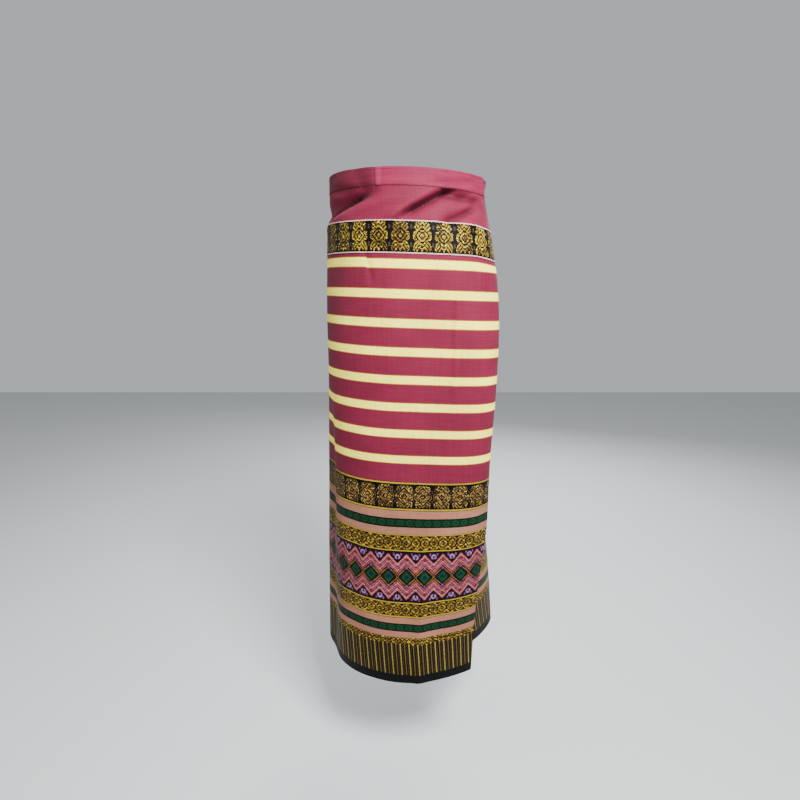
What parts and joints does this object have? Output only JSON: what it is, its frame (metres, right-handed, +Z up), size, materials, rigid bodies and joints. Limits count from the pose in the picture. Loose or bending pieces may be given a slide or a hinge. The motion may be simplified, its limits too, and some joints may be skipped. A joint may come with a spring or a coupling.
{
  "type": "wrap maxi skirt",
  "caption": "Ankle-length wrap skirt of plain and striped cloth with brocaded bands and a deep patterned border, in its worn shape, open at waist and hem.",
  "frame": {"origin": "middle of the waistband, on the axis of the wearer's waist", "axes": "+Z up along the wearer, -Y to the skirt's front, +X to the side where the flap ends"},
  "size_m": [0.3616, 0.2658, 0.9561],
  "materials": {
    "waistband_cloth": "plain woven rose-plum cotton with a faint sheen",
    "yoke_cloth": "plain woven rose-plum cotton with a faint sheen",
    "edging_cord": "pale twisted cord",
    "brocade_cloth": "black cloth with raised gold supplementary weft",
    "striped_cloth": "plum cotton with woven cream stripes edged in gold",
    "border_cloth": "black cloth brocaded in gold, pink, green and purple",
    "hem_cloth": "plain matt black cloth"
  },
  "bodies": {
    "root": {"waistband": "waistband_cloth", "yoke_panel": "yoke_cloth", "yoke_underlap": "yoke_cloth", "band_edging_upper": "edging_cord", "brocade_band": "brocade_cloth", "brocade_underlap": "brocade_cloth", "band_edging_lower": "edging_cord", "body_panel": "striped_cloth", "body_underlap": "striped_cloth", "border_panel": "border_cloth", "border_underlap": "border_cloth", "hem_strip": "hem_cloth", "hem_underlap": "hem_cloth"}
  },
  "joints": []
}
